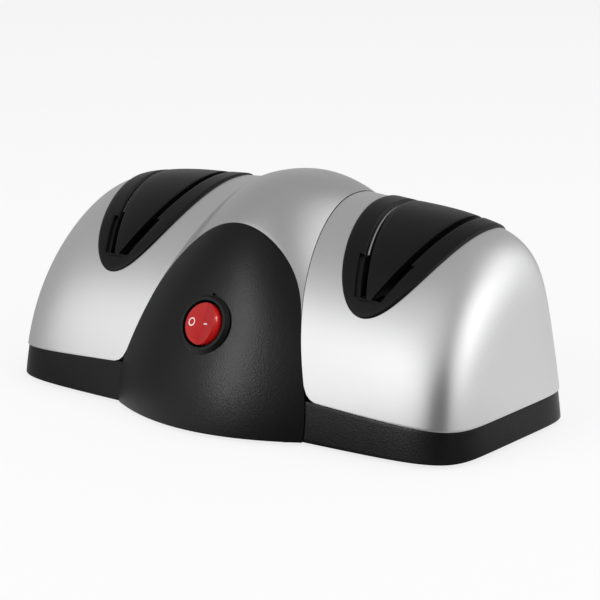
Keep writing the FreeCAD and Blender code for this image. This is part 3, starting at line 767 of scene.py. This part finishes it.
def onMark():
    s = switchForm
    slope = math.radians(s["travel"])
    bpy.ops.object.select_all(action="DESELECT")
    bpy.ops.mesh.primitive_cube_add(size=1, location=(0, 0, 0))
    bar = bpy.context.object
    bar.name = "on_mark"
    for vert in bar.data.vertices:
        x, y, z = vert.co.x * s["onLong"] + s["onX"], vert.co.y * s["onTall"], vert.co.z * s["onThick"]
        vert.co = (x * math.cos(slope) - z * math.sin(slope), y,
                   x * math.sin(slope) + z * math.cos(slope) + s["rockerLow"] + s["pivotRise"])
    softEdges(bar, s["markRound"], 2)
    turnOnSwitch(bar)
    return bar


bezel = bezelRing()
dress(bezel, switchBlack, "housing", "black_switch", "switch_body")
cap = rockerCap()
dress(cap, rockerRed, "rocker_body", "rocker_red", "rocker")
dress(offMark(), markWhite, "rocker_body", "rocker_red")
dress(onMark(), markWhite, "rocker_body", "rocker_red")
print("switch made")

# knife guides

guideSheet = {
    "rows": 132, "rim": (0.0, 0.03, 0.08, 0.15, 0.3, 0.5, 0.75, 1.0), "ledge": 2, "slot": 2, "island": 14,
    "lipRound": 1.3, "crown": 0.3, "crownRun": 8.0, "skirt": 3.2, "edgeRound": 0.35, "wall": 0.9, "fine": 500,
    "tipClear": 0.02, "leastFall": 0.6, "deepest": 40.0, "tries": 8,
}
deepFlag = -50.0  # marks the points that go down to the slots' floor


def slotEdge(side, hand, z):
    # x of a slot's wall; side is -1 for the inner slot, hand is -1 for its wall nearer the body's middle
    g = guideForm
    lean = math.tan(math.radians(g["slotTilt"])) * (z - g["slotFloor"])
    half = g["slotWidth"] / 2 / math.cos(math.radians(g["slotTilt"]))
    return g["x"] + side * (g["slotHalfGap"] + lean) + hand * half


def stripEdges(z):
    # x of the guide's long lines from left to right: edge, ledge, slot, slot, slot, slot, ledge, edge
    g = guideForm
    at = max(z, g["slotFloor"])
    ledge = g["ledgeWidth"] / math.cos(math.radians(g["slotTilt"]))
    width = math.sqrt(max(0.0, g["spread"] * (at - g["tip"])))
    lines = [g["x"] - width, slotEdge(-1, -1, at) - ledge, slotEdge(-1, -1, at), slotEdge(-1, 1, at),
             slotEdge(1, -1, at), slotEdge(1, 1, at), slotEdge(1, 1, at) + ledge, g["x"] + width]
    if z < g["slotFloor"]:
        shrink = math.sqrt(max(0.0, z - g["tip"]) / (g["slotFloor"] - g["tip"]))
        lines = [g["x"] + (x - g["x"]) * shrink for x in lines]
    return lines


def guideColumns():
    # each column as (strip, share within the strip)
    s = guideSheet
    columns = [(0, f) for f in s["rim"][:-1]]
    columns += [(1, i / s["ledge"]) for i in range(s["ledge"])]
    columns += [(2, i / s["slot"]) for i in range(s["slot"])]
    columns += [(3, i / s["island"]) for i in range(s["island"])]
    columns += [(4, i / s["slot"]) for i in range(s["slot"])]
    columns += [(5, i / s["ledge"]) for i in range(s["ledge"])]
    columns += [(6, 1 - f) for f in reversed(s["rim"])]
    return columns


def guideSpot(strip, share, theta, depth):
    g = guideForm
    s = guideSheet
    x = g["x"]
    z = 0.0
    for _ in range(s["tries"]):
        z = wingAtX(x, theta, -g["proud"])[2]
        lines = stripEdges(z)
        x = lines[strip] + (lines[strip + 1] - lines[strip]) * share
    away = max(0.0, insideGuide(x, z, 0.0))
    lip = s["lipRound"]
    drop = lip - math.sqrt(max(0.0, lip ** 2 - (lip - away) ** 2)) if away < lip else 0.0
    crown = 0.0
    if strip == 3:
        room = min(1.0, max(0.0, (z - g["slotFloor"]) / s["crownRun"]))
        crown = s["crown"] * (1 - (2 * share - 1) ** 2) * room
    return wingAtX(x, theta, drop + depth - g["proud"] - crown)


def guideRows():
    g = guideForm
    s = guideSheet

    def heightAt(theta):
        return wingAtX(g["x"], theta, -g["proud"])[2]

    low = g["tip"] + s["tipClear"]
    first = halve(lambda t: heightAt(t) < low, 0.0, math.pi / 2)
    last = halve(lambda t: heightAt(t) > low, math.pi / 2, math.pi)
    shares = [(1 - math.cos(math.pi * i / s["fine"])) / 2 for i in range(s["fine"] + 1)]
    thetas = [first + (last - first) * share for share in shares]
    lengths = [0.0]
    edge = [guideSpot(0, 0.0, theta, 0.0) for theta in thetas]
    for p, q in zip(edge, edge[1:]):
        lengths.append(lengths[-1] + math.dist(p, q))
    rows = []
    for i in range(s["rows"] + 1):
        k = min(bisect_left(lengths, lengths[-1] * i / s["rows"]), len(thetas) - 1)
        rows.append(thetas[k])
    marks = [halve(lambda t: heightAt(t) < g["slotFloor"], 0.0, math.pi / 2),
             halve(lambda t: heightAt(t) < g["ledgeTop"], 0.0, math.pi / 2),
             halve(lambda t: heightAt(t) > g["slotFloor"], math.pi / 2, math.pi)]
    places = []
    for mark in marks:
        k = min(range(len(rows)), key=lambda i: abs(rows[i] - mark))
        rows[k] = mark
        places.append(k)
    return rows, places


def guidePiece():
    g = guideForm
    s = guideSheet
    columns = guideColumns()
    rows, (floorRow, ledgeRow, rearRow) = guideRows()
    wide, tall = len(columns) - 1, len(rows) - 1
    strips = [strip for strip, share in columns]
    piece = flatGrid("right_guide", wide, tall)

    def stripOf(middle):
        return strips[int(middle.x * wide)]

    def rowOf(middle):
        return middle.y * tall

    choose(piece, "FACE", lambda m, c: stripOf(m) in (2, 4) and floorRow < rowOf(m) < rearRow)
    bpy.ops.mesh.delete(type="FACE")
    bodyMode()
    choose(piece, "FACE", lambda m, c: stripOf(m) in (1, 5) and floorRow < rowOf(m) < ledgeRow)
    bpy.ops.mesh.extrude_region_move(TRANSFORM_OT_translate={"value": (0, 0, -g["ledgeDepth"])})
    bodyMode()
    lipLines = (strips.index(2) / wide, strips.index(5) / wide)
    choose(piece, "FACE", lambda m, c: m.z < -0.01 and all(abs(p.x - c[0].x) < 1e-6 for p in c)
           and any(abs(m.x - line) < 1e-6 for line in lipLines))
    bpy.ops.mesh.delete(type="ONLY_FACE")
    bodyMode()
    uses = {}
    for face in piece.data.polygons:
        for key in face.edge_keys:
            uses[key] = uses.get(key, 0) + 1
    border = {key for key, count in uses.items() if count == 1}
    spots = {tuple(sorted((tuple(round(v, 5) for v in piece.data.vertices[a].co),
                           tuple(round(v, 5) for v in piece.data.vertices[b].co)))) for a, b in border}

    def isBorder(c):
        return tuple(sorted(tuple(round(v, 5) for v in p) for p in c)) in spots

    def outer(m):
        return m.x < 1e-6 or m.x > 1 - 1e-6 or m.y < 1e-6 or m.y > 1 - 1e-6

    choose(piece, "EDGE", lambda m, c: isBorder(c) and not outer(m))
    bpy.ops.mesh.extrude_region_move(TRANSFORM_OT_translate={"value": (0, 0, deepFlag)})
    bodyMode()
    choose(piece, "EDGE", lambda m, c: isBorder(c) and outer(m) and m.z > -1)
    bpy.ops.mesh.extrude_region_move(TRANSFORM_OT_translate={"value": (0, 0, -s["skirt"])})
    bodyMode()
    tilt = math.tan(math.radians(g["slotTilt"]))
    for vert in piece.data.vertices:
        k = round(vert.co.x * wide)
        strip, share = columns[k]
        theta = rows[round(vert.co.y * tall)]
        depth = -vert.co.z
        if depth < s["deepest"]:
            vert.co = raised(guideSpot(strip, share, theta, depth))
            continue
        x, y, z = guideSpot(strip, share, theta, depth + deepFlag)
        fall = max(s["leastFall"], z - g["slotFloor"])
        side = -1 if strip <= 3 and k <= strips.index(3) else 1
        vert.co = raised((x - side * tilt * fall, y, z - fall))
    tidySheet(piece, Vector((g["x"] * mm, 0.01, 0.02)))
    thicken(piece, s["wall"], s["edgeRound"], 2, 45, even=False)
    return piece


rightGuide = guidePiece()
leftGuide = mirrorCopy(rightGuide, "left_guide")
dress(rightGuide, guideBlack, "housing", "satin_black", "right_knife_guide")
dress(leftGuide, guideBlack, "housing", "satin_black", "left_knife_guide")
print("guides made")

# finishes of the solids that are shown as they are

nodeFinishes = {
    "base_plate": baseBlack, "left_guide_strips": plainSteel, "right_guide_strips": plainSteel,
    "rubber_feet": rubberBlack, "housing_screws": zincSteel, "switch_lamp": lampAmber,
    "switch_terminals": brassMetal,
    "cord_bush": rubberBlack, "motor_can": zincSteel, "motor_end_cap": whitePlastic,
    "field_magnets": ferriteGrey,
    "shaft_bushes": bronzeBush, "carbon_brushes": carbonBlack, "armature_core": plainSteel,
    "armature_windings": copperWire, "commutator": copperWire, "motor_shaft": plainSteel,
    "cooling_fan": whitePlastic, "left_coarse_wheel": coarseStone, "right_fine_wheel": fineStone,
    "wheel_hubs": plainSteel, "wheel_washers": zincSteel, "wheel_nuts": brassMetal,
    "mount_rings": rubberBlack,
    "motor_clamps": plainSteel, "clamp_screws": zincSteel, "rectifier_board": boardGreen,
    "board_parts": switchBlack,
}
for node, material in nodeFinishes.items():
    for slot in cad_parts[node].material_slots:
        slot.material = material
print("solids finished")

# floor, backdrop light and camera

studio = {
    "camera": (0.5722, -0.7501, 0.2824), "turn": 36.797, "tilt": 14.397, "lens": 150.0, "sensor": 36.0,
    "nearest": 0.01, "floorSize": 12.0, "floorWhite": 0.8,
    "lamps": (
        # name, place, aims at, width, height, watts
        ("leftFront", (-0.45, -1.20, 0.70), (0, 0, 0.04), 1.2, 1.0, 9.0),
        ("rightFront", (1.10, -0.35, 0.60), (0.03, 0, 0.04), 0.9, 0.9, 5.0),
        ("top", (0.1, 0.4, 1.4), (0, 0, 0.04), 1.0, 0.8, 6.0),
    ),
    "skyLow": 0.50, "skyHigh": 0.46, "skyStart": 0.30, "skyEnd": 0.85, "skyLight": 0.40,
    "floorMirror": 0.9,
    "lobes": (
        # azimuth from +X, height, full inside, nothing outside (degrees), how much brighter or darker
        (-116.0, 14.0, 10.0, 38.0, 1.10),
        (-104.0, 44.0, 8.0, 34.0, 0.48),
        (-56.0, 8.0, 6.0, 29.0, -1.0),
        (-8.0, 34.0, 8.0, 34.0, 0.85),
        (45.0, 8.0, 20.0, 60.0, 0.48),
        (28.0, 38.0, 10.0, 44.0, 0.72),
    ),
    "glints": (
        # name, azimuth, height, how far, width, tallness, watts, the pieces that catch it
        ("frontGlint", -102.0, 26.0, 0.9, 0.18, 0.60, 6.5, ("housing_skin", "switch_bezel")),
        ("rockerGlint", 34.0, 24.0, 0.9, 0.34, 0.34, 7.5, ("rocker_cap",)),
    ),
}


def skyWay(azimuth, height):
    a, e = math.radians(azimuth), math.radians(height)
    return Vector((math.cos(a) * math.cos(e), math.sin(a) * math.cos(e), math.sin(e)))


def withLobes(nodes, ways, glow):
    for azimuth, up, inner, outer, amount in studio["lobes"]:
        near = nodes.node("ShaderNodeVectorMath", {"operation": "DOT_PRODUCT"},
                          {0: ways, 1: skyWay(azimuth, up)}, output=1)
        far, full = math.cos(math.radians(outer)), math.cos(math.radians(inner))
        glow = glow + nodes.node("ShaderNodeMapRange", {"interpolation_type": "SMOOTHSTEP"},
                                 {0: near, 1: far, 2: full, 3: 0.0, 4: amount})
    return glow.atLeast(0.0)


def makeWorld():
    world = bpy.data.worlds.new("studioWorld")
    bpy.context.scene.world = world
    world.use_nodes = True
    world.node_tree.nodes.clear()
    sky = Nodes(world.node_tree)
    ways = sky.node("ShaderNodeTexCoord")
    height = sky.node("ShaderNodeSeparateXYZ", {}, {0: ways}, output=2)
    plain = sky.node("ShaderNodeMapRange", {"interpolation_type": "SMOOTHSTEP"},
                     {0: height, 1: studio["skyStart"], 2: studio["skyEnd"],
                      3: studio["skyLow"], 4: studio["skyHigh"]})
    glow = withLobes(sky, ways, plain)
    path = sky.tree.nodes.new("ShaderNodeLightPath")
    seen = Feed(sky.tree, path.outputs["Is Camera Ray"])
    mirrored = Feed(sky.tree, path.outputs["Is Glossy Ray"])
    through = Feed(sky.tree, path.outputs["Is Transmission Ray"])
    shown = sky.shade("ShaderNodeBackground", (1, 1, 1), seen + (1 - seen) * glow)
    light = sky.shade("ShaderNodeBackground", (1, 1, 1), studio["skyLight"])
    out = sky.tree.nodes.new("ShaderNodeOutputWorld")
    mix = sky.mixShaders(seen.atLeast(mirrored).atLeast(through), light, shown)
    sky.tree.links.new(mix.socket, out.inputs[0])


def makeFloor():
    bpy.ops.object.select_all(action="DESELECT")
    bpy.ops.mesh.primitive_plane_add(size=studio["floorSize"], location=(0, 0, 0))
    floor = bpy.context.object
    floor.name = "floor"
    finish = Finish("floorWhite")
    finish.set(colour=(0.9, 0.9, 0.9), rough=0.8)
    path = finish.tree.nodes.new("ShaderNodeLightPath")
    seen = Feed(finish.tree, path.outputs["Is Camera Ray"])
    mirrored = Feed(finish.tree, path.outputs["Is Glossy Ray"])
    ways = finish.node("ShaderNodeVectorMath", {"operation": "NORMALIZE"}, {0: finish.place()})
    glow = withLobes(finish, ways, studio["skyLow"]) * studio["floorMirror"]
    white = finish.shade("ShaderNodeEmission", (1, 1, 1), seen + (1 - seen) * glow)
    plain = Feed(finish.tree, finish.shader.outputs[0])
    mix = finish.mixShaders(mirrored.atLeast(seen * studio["floorWhite"]), plain, white)
    finish.tree.links.new(mix.socket, finish.tree.nodes["Material Output"].inputs[0])
    floor.data.materials.append(finish.material)


def makeLamps():
    for name, place, aim, width, height, watts in studio["lamps"]:
        bpy.ops.object.light_add(type="AREA", location=place)
        lamp = bpy.context.object
        lamp.name = name
        lamp.data.shape = "RECTANGLE"
        lamp.data.size = width
        lamp.data.size_y = height
        lamp.data.energy = watts
        lamp.visible_glossy = False  # the sky alone is mirrored
        lamp.rotation_euler = (Vector(aim) - Vector(place)).to_track_quat("-Z", "Y").to_euler()


def makeGlints():
    # small softboxes that only some pieces catch
    for name, azimuth, height, far, width, tallness, watts, pieces in studio["glints"]:
        place = skyWay(azimuth, height) * far
        bpy.ops.object.light_add(type="AREA", location=place)
        lamp = bpy.context.object
        lamp.name = name
        lamp.data.shape = "RECTANGLE"
        lamp.data.size = width
        lamp.data.size_y = tallness
        lamp.data.energy = watts
        lamp.rotation_euler = (-place).to_track_quat("-Z", "Y").to_euler()
        lit = bpy.data.collections.new(name + "Pieces")
        for piece in pieces:
            lit.objects.link(bpy.data.objects[piece])
        lamp.light_linking.receiver_collection = lit


def makeCamera():
    turn, tilt = math.radians(studio["turn"]), math.radians(studio["tilt"])
    aim = Vector((-math.sin(turn) * math.cos(tilt), math.cos(turn) * math.cos(tilt), -math.sin(tilt)))
    bpy.ops.object.camera_add(location=studio["camera"], rotation=aim.to_track_quat("-Z", "Y").to_euler())
    camera = bpy.context.object
    camera.data.lens = studio["lens"]
    camera.data.sensor_width = studio["sensor"]
    camera.data.clip_start = studio["nearest"]
    bpy.context.scene.camera = camera


makeWorld()
makeFloor()
makeLamps()
makeGlints()
makeCamera()
bpy.context.scene.view_settings.view_transform = "Standard"
print("studio made")
